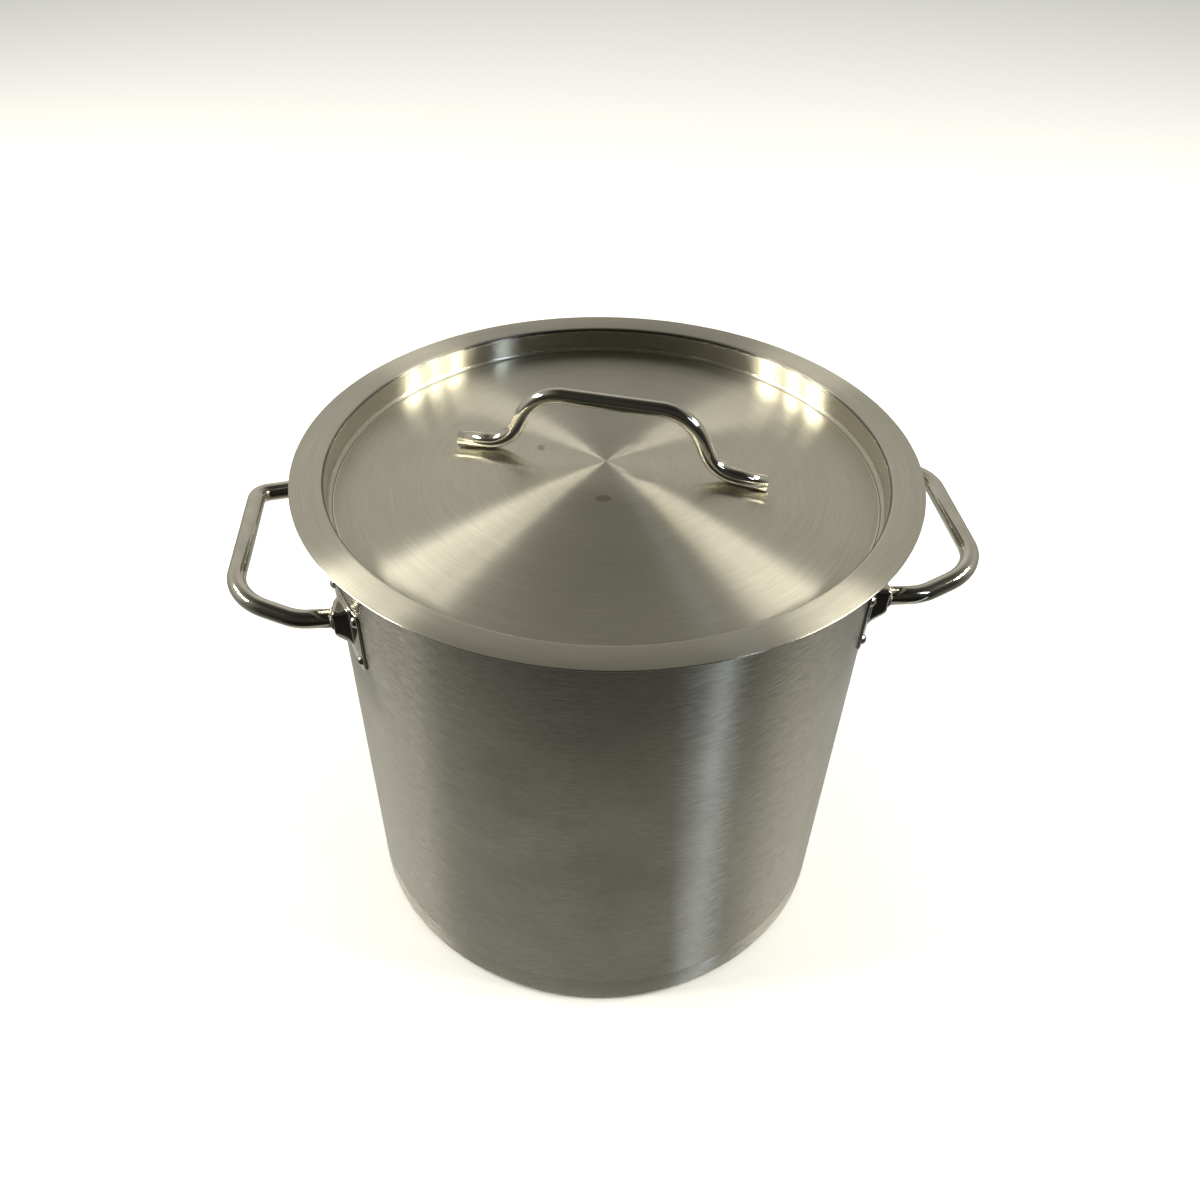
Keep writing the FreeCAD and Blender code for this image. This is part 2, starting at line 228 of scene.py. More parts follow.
def paintedCreaseLine(tree, place, ring):
    # thin painted line round the axis, full at its own radius and gone within its width; it gives the lid's
    # crease its painted shade and painted highlight
    flat = addNode(tree, "ShaderNodeVectorMath", {0: place, 1: (1, 1, 0)}, operation="MULTIPLY").outputs[0]
    radius = addNode(tree, "ShaderNodeVectorMath", {0: flat}, operation="LENGTH").outputs["Value"]
    away = addNode(tree, "ShaderNodeMath", {0: radius, 1: ring["radius"]}, operation="SUBTRACT").outputs[0]
    away = addNode(tree, "ShaderNodeMath", {0: away}, operation="ABSOLUTE").outputs[0]
    return remap(tree, away, ring["width"] * 0.3 * mm, ring["width"] * 0.6 * mm, ring["strength"], 0.0)


def upright(tree, factor):
    # one on level faces, the given factor on faces that stand upright
    facing = addNode(tree, "ShaderNodeTexCoord").outputs["Normal"]
    lift = addNode(tree, "ShaderNodeSeparateXYZ", {0: facing}).outputs[2]
    level = addNode(tree, "ShaderNodeMath", {0: lift}, operation="ABSOLUTE").outputs[0]
    fullyLevel = 0.8
    return remap(tree, level, 0.0, fullyLevel, factor, 1.0)


def brushedTangent(tree, rings, waver):
    # the brush marks' direction, which wavers a little from one ring of marks to the next
    along = addNode(tree, "ShaderNodeTangent", direction_type="RADIAL", axis="Z").outputs[0]
    place = addNode(tree, "ShaderNodeTexCoord").outputs["Object"]
    flat = addNode(tree, "ShaderNodeVectorMath", {0: place, 1: (1, 1, 0)}, operation="MULTIPLY").outputs[0]
    spoke = addNode(tree, "ShaderNodeVectorMath", {0: flat}, operation="NORMALIZE").outputs[0]
    across = addNode(tree, "ShaderNodeVectorMath", {0: spoke, 1: (0, 0, 1)}).outputs[0]
    lean = remap(tree, rings, 0.25, 0.75, -waver, waver)
    tilt = addNode(tree, "ShaderNodeVectorMath", {0: across, "Scale": lean}, operation="SCALE").outputs[0]
    return addNode(tree, "ShaderNodeVectorMath", {0: along, 1: tilt}).outputs[0]


def brushedStainless(name, look):
    # Stainless sheet brushed on a turning table: fine parallel scratches that run round
    # the axis, so a window shows as a long streak across them and the metal stays satin.
    # The real scratches are about 0.1 mm apart; they are drawn as coarse as shows.
    material, tree, shader = newMetal(name)
    place = addNode(tree, "ShaderNodeTexCoord").outputs["Object"]
    step = 1 / (look["lineWidth"] * mm)
    bandRun = 1.2
    bandStep = step / 12
    cloudScale = 11.0
    fine = noise(tree, roundField(tree, look["lineRun"], step), detail=3.0, roughness=0.75)
    rings = noise(tree, roundField(tree, look["lineRun"] / 2, step), detail=1.0, roughness=0.5)
    broad = noise(tree, roundField(tree, bandRun, bandStep), detail=2.0)
    cloud = noise(tree, place, scale=cloudScale, detail=3.0)
    lines = remap(tree, fine, 0.35, 0.65, 0.0, 1.0)
    colour = mixColour(tree, lines, hexColour(look["dark"]), hexColour(look["light"]))
    shade = remap(tree, broad, 0.3, 0.7, 0.975, 1.02)
    colour = mixColour(tree, 1.0, colour, shade, "MULTIPLY")
    handled = remap(tree, cloud, 0.35, 0.7, 1.0, look["haze"])
    colour = mixColour(tree, 1.0, colour, handled, "MULTIPLY")
    for mark in look.get("dropMarks", []):
        colour = mixColour(tree, dropMark(tree, place, mark), colour, hexColour(look["dropColour"]))
    # painted shade and painted highlight at the lid's crease, laid on as thin dark and bright lines round
    # the axis
    for ring in look.get("rings", []):
        colour = mixColour(tree, paintedCreaseLine(tree, place, ring), colour, hexColour(ring["colour"]))
    tree.links.new(colour, shader.inputs["Base Color"])
    worn = addNode(tree, "ShaderNodeMath", {0: fine, 1: cloud}).outputs[0]
    rough = remap(tree, worn, 0.75, 1.25, look["rough"] - look["wear"], look["rough"] + look["wear"])
    sockets = {0: rough, 1: upright(tree, look["upright"])}
    pressed = addNode(tree, "ShaderNodeMath", sockets, operation="MULTIPLY").outputs[0]
    tree.links.new(pressed, shader.inputs["Roughness"])
    sockets = {"Strength": look["bump"], "Distance": scratchDepth, "Height": fine}
    bump = addNode(tree, "ShaderNodeBump", sockets)
    tree.links.new(bump.outputs[0], shader.inputs["Normal"])
    tree.links.new(brushedTangent(tree, rings, look["waver"]), shader.inputs["Tangent"])
    shader.inputs["Anisotropic"].default_value = look["pull"]
    shader.inputs["Anisotropic Rotation"].default_value = 0.25
    return material


def polishedStainless(name, look):
    # Stainless buffed to a mirror: it shows the room in sharp bands, dulled only by
    # handling haze and by hairlines that the buff left.
    material, tree, shader = newMetal(name)
    place = addNode(tree, "ShaderNodeTexCoord").outputs["Object"]
    hazeScale = 55.0
    hairWidth = 0.6 * mm
    hazeWear = 0.06
    haze = noise(tree, place, scale=hazeScale, detail=4.0)
    hairlines = noise(tree, place, scale=1 / hairWidth, detail=2.0)
    share = remap(tree, haze, 0.35, 0.7, 0.0, 1.0)
    colour = mixColour(tree, share, hexColour(look["light"]), hexColour(look["dark"]))
    tree.links.new(colour, shader.inputs["Base Color"])
    rough = remap(tree, haze, 0.3, 0.75, look["rough"], look["rough"] + hazeWear)
    tree.links.new(rough, shader.inputs["Roughness"])
    sockets = {"Strength": look["bump"], "Distance": scratchDepth, "Height": hairlines}
    bump = addNode(tree, "ShaderNodeBump", sockets)
    tree.links.new(bump.outputs[0], shader.inputs["Normal"])
    return material


wallSteel = brushedStainless("stainless, wall brushed", {
    "light": "#c3c1b7", "dark": "#a2a097", "haze": 0.93, "rough": 0.225, "pull": 1.0,
    "lineWidth": 0.6, "lineRun": 22.0, "bump": 0.12, "waver": 0.015, "upright": 1.0, "wear": 0.035})
capsuleSteel = brushedStainless("stainless, satin base", {
    "light": "#cfcdc3", "dark": "#b0aea5", "haze": 0.93, "rough": 0.28, "pull": 1.0,
    "lineWidth": 0.7, "lineRun": 16.0, "bump": 0.12, "waver": 0.03, "upright": 1.0, "wear": 0.035})
# radius at which the lid's recess wall runs out into its panel, and the painted shade and painted highlight
# lines round it
recessInset = 6.5 * mm
recessFoot = kettle["wallRadius"] - recessInset
paintedFootLines = 0.4 * mm
paintedWallShade = 4.05 * mm
lidSteel = brushedStainless("stainless, circle brushed lid", {
    "light": "#d4d1c4", "dark": "#c6c3b6", "haze": 0.95, "rough": 0.295, "pull": 1.0,
    "lineWidth": 0.6, "lineRun": 4.0, "bump": 0.06, "waver": 0.03, "upright": 0.65, "wear": 0.012,
    "dropColour": "#8f8672", "dropMarks": [(-40.7, 20.4, 5, 8), (-5.2, -40.1, 10, 7)],
    # painted shade and painted highlight at the recess's crease: a dark line just outside its foot, a bright
    # line just inside it, and a dark line up the recess wall
    "rings": [{"radius": recessFoot + paintedFootLines, "width": 0.7, "strength": 0.6, "colour": "#4b4942"},
              {"radius": recessFoot - paintedFootLines, "width": 0.7, "strength": 0.8, "colour": "#fbf9ee"},
              {"radius": recessFoot + paintedWallShade, "width": 1.1, "strength": 0.75, "colour": "#3a382f"}]})
tubeSteel = polishedStainless("stainless, polished tube", {
    "light": "#d6d3c8", "dark": "#c6c3b8", "rough": 0.05, "bump": 0.01})
pressingSteel = polishedStainless("stainless, polished pressing", {
    "light": "#d6d3c8", "dark": "#c2bfb4", "rough": 0.09, "bump": 0.03})
rivetSteel = polishedStainless("stainless, rivet head", {
    "light": "#dad7cf", "dark": "#c6c3ba", "rough": 0.08, "bump": 0.02})
beadSteel = polishedStainless("stainless, welded bead", {
    "light": "#c4bfb3", "dark": "#989286", "rough": 0.25, "bump": 0.4})
print("materials made")


def turningTree(material):
    # turns a profile, drawn as a row of points in the XZ plane, about the Z axis
    tree, given = newGroup("turning", {"Segments": 360})
    drawn = addNode(tree, "GeometryNodeAttributeDomainSize", {0: given["Geometry"]}, component="MESH")
    count = drawn.outputs["Point Count"]
    columns = addNode(tree, "ShaderNodeMath", {0: given["Segments"], 1: 1.0}).outputs[0]
    sockets = {"Size X": 1.0, "Size Y": 1.0, "Vertices X": columns, "Vertices Y": count}
    grid = addNode(tree, "GeometryNodeMeshGrid", sockets)
    index = addNode(tree, "GeometryNodeInputIndex").outputs[0]
    row = addNode(tree, "ShaderNodeMath", {0: index, 1: count}, operation="MODULO").outputs[0]
    ratio = addNode(tree, "ShaderNodeMath", {0: index, 1: count}, operation="DIVIDE").outputs[0]
    column = addNode(tree, "ShaderNodeMath", {0: ratio}, operation="FLOOR").outputs[0]
    share = addNode(tree, "ShaderNodeMath", {0: column, 1: given["Segments"]}, operation="DIVIDE").outputs[0]
    angle = addNode(tree, "ShaderNodeMath", {0: share, 1: 2 * math.pi}, operation="MULTIPLY").outputs[0]
    spot = addNode(tree, "GeometryNodeInputPosition").outputs[0]
    sample = addNode(tree, "GeometryNodeSampleIndex", data_type="FLOAT_VECTOR", domain="POINT")
    tree.links.new(given["Geometry"], sample.inputs["Geometry"])
    tree.links.new(spot, sample.inputs["Value"])
    tree.links.new(row, sample.inputs["Index"])
    sockets = {"Vector": sample.outputs[0], "Angle": angle}
    turned = addNode(tree, "ShaderNodeVectorRotate", sockets, rotation_type="Z_AXIS")
    sockets = {0: grid.outputs["Mesh"], "Position": turned.outputs[0]}
    moved = addNode(tree, "GeometryNodeSetPosition", sockets)
    joined = addNode(tree, "GeometryNodeMergeByDistance", {0: moved.outputs[0], "Distance": 1e-6})
    closeGroup(tree, joined.outputs[0], material)
    return tree


def turnedPiece(name, profile, material, segments):
    # closed solid of revolution from its half outline
    mesh = bpy.data.meshes.new(name + ".profile")
    mesh.from_pydata([(r, 0, z) for r, z in profile], [], [])
    piece = grow(name, mesh, turningTree(material), {"Segments": segments})
    return smooth(faceOut(piece))


# the pot's lower wall steps in by the sheet of the cup that laps over it
cupSheet = 0.8


def shellProfile(sizes):
    # half outline of the pot: floor, the step into the cup, wall and rolled rim, then back inside
    wall = kettle["wallSheet"]
    outer = kettle["wallRadius"]
    low = outer - sizes["cupSheet"] * mm
    under = shellLow.z
    corner = (low - sizes["floorCorner"] * mm, under + sizes["floorCorner"] * mm)
    curlIn = sizes["curlInner"] * mm
    curlOut = curlIn + wall
    curl = (outer + curlIn, kettle["rimTop"] - curlOut)
    step = kettle["capsuleTop"]
    profile = [(0, under)]
    profile += arcPoints(corner, sizes["floorCorner"] * mm, -90, 0, 10)
    profile += [(low, step), (outer, step), (outer, step + sizes["stepOut"] * mm)]
    profile += arcPoints(curl, curlIn, 180, sizes["curlEnd"], 18)
    profile += arcPoints(curl, curlOut, sizes["curlEnd"], 180, 24)
    profile += [(outer - wall, step + sizes["stepIn"] * mm), (low - wall, step)]
    profile += arcPoints(corner, sizes["floorCorner"] * mm - wall, 0, -90, 10)
    profile += [(0, under + wall)]
    return profile


shellSizes = {"cupSheet": cupSheet, "floorCorner": 8.0, "curlInner": 2.9, "curlEnd": -60, "stepOut": 1.0,
              "stepIn": 2.0}
shell = turnedPiece("kettle_wall", shellProfile(shellSizes), wallSteel, 360)
settle(shell, "kettle", "brushed_wall", "kettle_shell")


def cupProfile(sizes):
    # half outline of the cup that laps up the wall, closed underneath
    outer = kettle["wallRadius"]
    sheet = sizes["sheet"] * mm
    bend = sizes["corner"] * mm
    corner = (outer - bend, bend)
    lip = sizes["lip"] * mm
    profile = [(0, 0)]
    profile += arcPoints(corner, bend, -90, 0, 14)
    profile += arcPoints((outer - lip, kettle["capsuleTop"] - lip), lip, 0, 90, 4)
    profile += [(outer - sheet, kettle["capsuleTop"]), (outer - sheet, corner[1])]
    profile += arcPoints(corner, bend - sheet, 0, -90, 14)[1:]
    profile += [(0, sheet)]
    return profile


cupSizes = {"sheet": cupSheet, "corner": 6.0, "lip": 0.3}
capsule = turnedPiece("base_cup", cupProfile(cupSizes), capsuleSteel, 360)
settle(capsule, "kettle", "brushed_base", "base_capsule")

lidSizes = {"sheet": 1.0, "bend": 3.0, "depth": 17.0, "slope": 0.105, "crown": 90.0, "plugGap": 1.2,
            "lipSteps": 8}


def lidProfile(sizes):
    # half outline of the lid: rounded edge, flange, recess wall and crowned panel, above and below
    sheet = sizes["sheet"] * mm
    bend = sizes["bend"] * mm
    plug = kettle["wallRadius"] - kettle["wallSheet"] - sizes["plugGap"] * mm - sheet
    top = kettle["flangeTop"]
    high = (plug + bend, top - bend)
    low = (plug - bend, top - sizes["depth"] * mm + bend)
    slope = math.atan(sizes["slope"])
    lean = 90 - math.degrees(slope)
    sphere = sizes["crown"] * mm / math.sin(slope)
    panelEnd = (low[0] - bend * math.sin(slope), low[1] - bend * math.cos(slope))
    crownEdge = panelEnd[1] + (panelEnd[0] - sizes["crown"] * mm) * math.tan(slope)
    crown = (0, crownEdge - sphere * math.cos(slope))

    def face(depth):
        points = arcPoints(high, bend - depth, 90, 180, 10)
        points += arcPoints(low, bend + depth, 0, lean - 180, 10)
        points += arcPoints(crown, sphere - depth, lean, 90, 24)
        return points

    lip = (kettle["lidRadius"] - sheet / 2, top - sheet / 2)
    profile = arcPoints(lip, sheet / 2, -90, 90, sizes["lipSteps"])
    profile += face(0)
    profile += face(sheet)[::-1]
    return profile


def panelHeight(radius):
    # height of the lid panel's upper face, found past the points of the rounded edge
    profile = lidProfile(lidSizes)[lidSizes["lipSteps"] + 1:]
    for (r0, z0), (r1, z1) in zip(profile, profile[1:]):
        if r1 <= radius <= r0:
            return z0 + (z1 - z0) * (r0 - radius) / max(r0 - r1, 1e-9)


lidOutline = lidProfile(lidSizes)
lidDisc = turnedPiece("lid_sheet", lidOutline + lidOutline[:1], lidSteel, 384)
settle(lidDisc, "lid", "brushed_lid", "lid_panel")
print("shell, capsule and lid turned")


def bentTubeTree(material):
    # round tube along a line of points, each corner bent to its own "bend" radius
    tree, given = newGroup("bent tube", {"Tube Radius": 6 * mm, "Sides": 48, "Bend Steps": 24})
    line = addNode(tree, "GeometryNodeMeshToCurve", {0: given["Geometry"]}).outputs[0]
    bend = addNode(tree, "GeometryNodeInputNamedAttribute", {"Name": "bend"}, data_type="FLOAT").outputs[0]
    sockets = {"Curve": line, "Radius": bend, "Count": given["Bend Steps"]}
    bent = addNode(tree, "GeometryNodeFilletCurve", sockets, mode="POLY").outputs[0]
    sockets = {"Resolution": given["Sides"], "Radius": given["Tube Radius"]}
    ring = addNode(tree, "GeometryNodeCurvePrimitiveCircle", sockets, mode="RADIUS").outputs["Curve"]
    skin = addNode(tree, "GeometryNodeCurveToMesh", {"Curve": bent, "Profile Curve": ring}).outputs[0]
    closeGroup(tree, skin, material)
    return tree


tubeTree = bentTubeTree(tubeSteel)


def bentTube(name, points, bends, sizes):
    # tube through the points with open ends and a real wall
    line = bpy.data.meshes.new(name + ".line")
    line.from_pydata(points, [(i, i + 1) for i in range(len(points) - 1)], [])
    radii = line.attributes.new("bend", "FLOAT", "POINT")
    radii.data.foreach_set("value", [bend * mm for bend in bends])
    piece = faceOut(grow(name, line, tubeTree, {"Tube Radius": sizes["tube"] * mm / 2}))
    wall = piece.modifiers.new("wall", "SOLIDIFY")
    wall.thickness = sizes["wall"] * mm
    wall.offset = -1
    return smooth(piece, 50)


sideHandle = {"tube": 12.0, "wall": 1.2, "drop": 62.7, "barRise": 6.0, "legSide": 74.2, "legEndGap": 4.5,
              "legBend": 197.4, "reach": 239.0, "barSide": 57.0, "legRadius": 35.0, "barRadius": 36.0,
              "tightRadius": 12.0}
legAngle = math.asin(sideHandle["legSide"] * mm / kettle["wallRadius"])
legStart = kettle["wallRadius"] * math.cos(legAngle)
legLevel = kettle["flangeTop"] - sideHandle["drop"] * mm


def sideHandlePoints(sizes, side):
    # from the front leg's end round the outer bar to the rear leg's end
    legs = sizes["legSide"] * mm
    bar = (sizes["reach"] * mm, sizes["barSide"] * mm, legLevel + sizes["barRise"] * mm)
    start = legStart + sizes["legEndGap"] * mm
    half = [(start, legs, legLevel), (sizes["legBend"] * mm, legs, legLevel), bar]
    points = [(side * x, -y, z) for x, y, z in half]
    return points + [(side * x, y, z) for x, y, z in half[::-1]]


for side, word, rear in ((1, "right", "barRadius"), (-1, "left", "tightRadius")):
    bends = [0] + [sideHandle[key] for key in ("legRadius", "barRadius", rear, "legRadius")] + [0]
    loop = bentTube("loop_handle_" + word, sideHandlePoints(sideHandle, side), bends, sideHandle)
    settle(loop, "kettle", "polished_tube", "side_handle_" + word)

lidHandle = {"tube": 10.0, "wall": 1.0, "turn": -18.6, "offset": (2.6, 1.7), "footEnd": 101.6,
             "footBend": 67.6, "corner": 49.6, "height": 37.0, "gap": 0.2, "footRadius": 24.0,
             "gripRadius": 30.0}


def lidHandlePoints(sizes):
    # both feet follow the panel's slope, and the grip stands level between them
    turn = Matrix.Rotation(math.radians(sizes["turn"]), 3, "Z")
    shift = Vector((sizes["offset"][0] * mm, sizes["offset"][1] * mm, 0))
    reaches = [sizes["footEnd"], sizes["footBend"], sizes["corner"]]
    points = []
    for along in [-reach for reach in reaches] + reaches[::-1]:
        spot = turn @ Vector((along * mm, 0, 0)) + shift
        spot.z = kettle["flangeTop"] + sizes["height"] * mm
        if abs(along) > sizes["corner"]:
            spot.z = panelHeight(math.hypot(spot.x, spot.y)) + (sizes["tube"] / 2 + sizes["gap"]) * mm
        points.append(tuple(spot))
    return points


gripBends = [0] + [lidHandle[key] for key in ("footRadius", "gripRadius", "gripRadius", "footRadius")] + [0]
grip = bentTube("lid_grip", lidHandlePoints(lidHandle), gripBends, lidHandle)
settle(grip, "lid", "polished_tube", "lid_handle")
print("tubes bent")


# each corner's side along X and end along Y
corners = [("right_rear", 1, 1), ("right_front", 1, -1), ("left_rear", -1, 1), ("left_front", -1, -1)]
pressing = {"cell": 0.45, "rounding": 10, "bossFrom": 2.0, "bossFull": 3.6, "bossRounding": 150}


def soften(piece, rounds):
    # evens out the surface, a little more each round
    soft = piece.modifiers.new("soft", "SMOOTH")
    soft.factor = 0.5
    soft.iterations = rounds
    return soft


def keepShape(piece):
    # keeps what the live modifiers have made of the piece, and removes them
    mesh = plainMesh(piece)
    piece.modifiers.clear()
    piece.data = mesh


def pressedBracket(corner, sizes):
    # the bracket's solid with its pressed edges rounded over, as the die leaves them;
    # the boss, which stands out from the plate, is rounded much more than the plate
    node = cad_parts["bracket_" + corner]
    piece = bpy.data.objects.new("pressed_bracket_" + corner, node.data.copy())
    bpy.context.scene.collection.objects.link(piece)
    faceOut(piece)
    cells = piece.modifiers.new("cells", "REMESH")
    cells.mode = "VOXEL"
    cells.voxel_size = sizes["cell"] * mm
    cells.use_smooth_shade = True
    soften(piece, sizes["rounding"])
    keepShape(piece)
    boss = piece.vertex_groups.new(name="boss")
    for vertex in piece.data.vertices:
        out = (math.hypot(vertex.co.x, vertex.co.y) - kettle["wallRadius"]) / mm
        share = (out - sizes["bossFrom"]) / (sizes["bossFull"] - sizes["bossFrom"])
        boss.add([vertex.index], min(max(share, 0), 1), "REPLACE")
    soften(piece, sizes["bossRounding"]).vertex_group = boss.name
    keepShape(piece)
    piece.data.materials.clear()
    piece.data.materials.append(pressingSteel)
    return piece


for corner, side, end in corners:
    settle(pressedBracket(corner, pressing), "kettle", "polished_pressing", "bracket_" + corner)
print("brackets pressed")


# spots: along the wall from the leg, and up from it
rivet = {"shank": 2.1, "head": 3.6, "dome": 2.4, "tail": 1.4, "tailEdge": 0.5, "plate": 1.6,
         "spots": [(14.0, 7.0), (13.8, -24.8), (-27.5, 7.0)]}


def rivetProfile(sizes):
    # half outline of one rivet along its own axis, wall's outer face at zero
    head = sizes["head"] * mm
    shank = sizes["shank"] * mm
    edge = sizes["tailEdge"] * mm
    ball = (sizes["head"] ** 2 + sizes["dome"] ** 2) / (2 * sizes["dome"])
    tip = sizes["plate"] + sizes["dome"]
    rim = math.degrees(math.asin(sizes["head"] / ball))
    dome = arcPoints((0, (tip - ball) * mm), ball * mm, 90 - rim, 90, 8)
    inside = -kettle["wallSheet"]
    end = inside - sizes["tail"] * mm
    foot = [(0, end), (head - edge, end), (head, end + edge), (head, inside), (shank, inside),
            (shank, sizes["plate"] * mm)]
    return foot + dome


def rivetTree(blank, material):
    # a rivet on every point, standing along the point's own "axis"
    tree, given = newGroup("rivets", {"Size": 1.0})
    axis = addNode(tree, "GeometryNodeInputNamedAttribute", {"Name": "axis"}, data_type="FLOAT_VECTOR")
    sockets = {"Vector": axis.outputs[0]}
    stand = addNode(tree, "FunctionNodeAlignRotationToVector", sockets, axis="Z").outputs[0]
    source = addNode(tree, "GeometryNodeObjectInfo", {"Object": blank}).outputs["Geometry"]
    sockets = {"Points": given["Geometry"], "Instance": source, "Rotation": stand, "Scale": given["Size"]}
    placed = addNode(tree, "GeometryNodeInstanceOnPoints", sockets).outputs[0]
    closeGroup(tree, placed, material)
    return tree


def rivetPoints(name, side, end):
    # where the wall's outer face meets each rivet's axis
    mesh = bpy.data.meshes.new(name + ".points")
    spots = []
    outward = []
    for away, up in rivet["spots"]:
        angle = legAngle + away * mm / kettle["wallRadius"]
        direction = Vector((side * math.cos(angle), end * math.sin(angle), 0))
        outward.extend(direction)
        spots.append(direction * kettle["wallRadius"] + Vector((0, 0, legLevel + up * mm)))
    mesh.from_pydata(spots, [], [])
    mesh.attributes.new("axis", "FLOAT_VECTOR", "POINT").data.foreach_set("vector", outward)
    return mesh


rivetBlank = turnedPiece("rivet_blank", rivetProfile(rivet), rivetSteel, 40)
rivetGroup = rivetTree(rivetBlank, rivetSteel)
for corner, side, end in corners:
    name = "rivet_heads_" + corner
    heads = smooth(faceOut(grow(name, rivetPoints(name, side, end), rivetGroup, {"Size": 1.0})), 40)
    settle(heads, "kettle", "rivet_steel", "rivets_" + corner)
bpy.data.objects.remove(rivetBlank)
print("rivets set")


bead = {"bossFace": 9.6, "radius": 0.85, "ripples": 30, "ripple": 0.14, "points": 240, "around": 0.35,
        "out": 0.3}


def beadTree(material):
    # a bead laid round a ring, swelling with every drop of the weld
    tree, given = newGroup("ring bead", {"Bead Radius": 0.85 * mm, "Ripples": 30, "Ripple Depth": 0.14})
    line = addNode(tree, "GeometryNodeMeshToCurve", {0: given["Geometry"]}).outputs[0]
    share = addNode(tree, "GeometryNodeSplineParameter").outputs["Factor"]
    turns = addNode(tree, "ShaderNodeMath", {0: share, 1: given["Ripples"]}, operation="MULTIPLY").outputs[0]
    angle = addNode(tree, "ShaderNodeMath", {0: turns, 1: 2 * math.pi}, operation="MULTIPLY").outputs[0]
    wave = addNode(tree, "ShaderNodeMath", {0: angle}, operation="SINE").outputs[0]
    sockets = {0: wave, 1: given["Ripple Depth"]}
    swell = addNode(tree, "ShaderNodeMath", sockets, operation="MULTIPLY").outputs[0]
    scale = addNode(tree, "ShaderNodeMath", {0: swell, 1: 1.0}).outputs[0]
    sockets = {"Resolution": 14, "Radius": given["Bead Radius"]}
    ring = addNode(tree, "GeometryNodeCurvePrimitiveCircle", sockets, mode="RADIUS").outputs["Curve"]
    sockets = {"Curve": line, "Profile Curve": ring, "Scale": scale}
    skin = addNode(tree, "GeometryNodeCurveToMesh", sockets).outputs[0]
    closeGroup(tree, skin, material)
    return tree


def beadRing(name, side, end, sizes):
    # ring where the leg of the loop handle leaves its bracket
    mesh = bpy.data.meshes.new(name + ".ring")
    count = sizes["points"]
    radius = (sideHandle["tube"] / 2 + sizes["radius"] * sizes["around"]) * mm
    x = side * (legStart + (sizes["bossFace"] + sizes["radius"] * sizes["out"]) * mm)
    y = end * sideHandle["legSide"] * mm
    spots = []
    for i in range(count):
        angle = 2 * math.pi * i / count
        spots.append((x, y + radius * math.cos(angle), legLevel + radius * math.sin(angle)))
    mesh.from_pydata(spots, [(i, (i + 1) % count) for i in range(count)], [])
    return mesh


beadGroup = beadTree(beadSteel)
for corner, side, end in corners:
    name = "ring_bead_" + corner
    sizes = {"Bead Radius": bead["radius"] * mm, "Ripples": bead["ripples"], "Ripple Depth": bead["ripple"]}
    ring = smooth(faceOut(grow(name, beadRing(name, side, end, bead), beadGroup, sizes)), 60)
    settle(ring, "kettle", "weld_bead", "leg_weld_" + corner)
for name in ("lid_weld_right", "lid_weld_left"):
    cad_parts[name].material_slots[0].material = beadSteel
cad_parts["base_core_disc"].material_slots[0].material = capsuleSteel
print("beads laid")


ground = {"size": 24, "behind": 6, "sink": 0.2, "colour": "#f4f4f2", "rough": 0.9}


def paleFloor(look):
    # pale ground under the kettle; the metal reflects the room's own lower half instead of it,
    # and it stops no light, because one lamp stands under it
    bpy.ops.mesh.primitive_plane_add(size=look["size"], location=(0, look["behind"], -look["sink"] * mm))
    floor = bpy.context.object
    floor.name = "floor"
    material = bpy.data.materials.new("pale floor")
    material.use_nodes = True
    shader = material.node_tree.nodes["Principled BSDF"]
    shader.inputs["Base Color"].default_value = hexColour(look["colour"])
    shader.inputs["Roughness"].default_value = look["rough"]
    floor.data.materials.append(material)
    floor.visible_glossy = False
    floor.visible_shadow = False
    floor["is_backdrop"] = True


lampAim = Vector((0, 0, 0.3))


def softLight(name, lamp):
    # a soft box; bearing and rise in degrees from a point under the lid, sizes in metres
    data = bpy.data.lights.new(name, "AREA")
    data.shape = lamp.get("shape", "RECTANGLE")
    data.size = lamp["width"]
    data.size_y = lamp["tall"]
    data.energy = lamp["glow"] * math.pi * lamp["width"] * lamp["tall"]
    data.color = hexColour(lamp["colour"])[:3]
    light = bpy.data.objects.new(name, data)
    bearing = math.radians(lamp["bearing"])
    rise = math.radians(lamp["rise"])
    away = Vector((math.cos(bearing) * math.cos(rise), math.sin(bearing) * math.cos(rise), math.sin(rise)))
    light.location = lampAim + away * lamp["distance"]
    light.rotation_euler = (-away).to_track_quat("-Z", "Y").to_euler()
    light.visible_glossy = lamp.get("glossy", True)
    light.visible_camera = False
    bpy.context.scene.collection.objects.link(light)


def glowRamp(tree, value, steps):
    # brightness and tint along a value from -1 to 1
    share = remap(tree, value, -1.0, 1.0, 0.0, 1.0)
    ramp = addNode(tree, "ShaderNodeValToRGB", {0: share})
    stops = ramp.color_ramp.elements
    while len(stops) < len(steps):
        stops.new(0.5)
    for stop, (at, glow, colour) in zip(stops, steps):
        stop.position = (at + 1) / 2
        tint = hexColour(colour)
        stop.color = (tint[0] * glow, tint[1] * glow, tint[2] * glow, 1)
    return ramp.outputs[0]


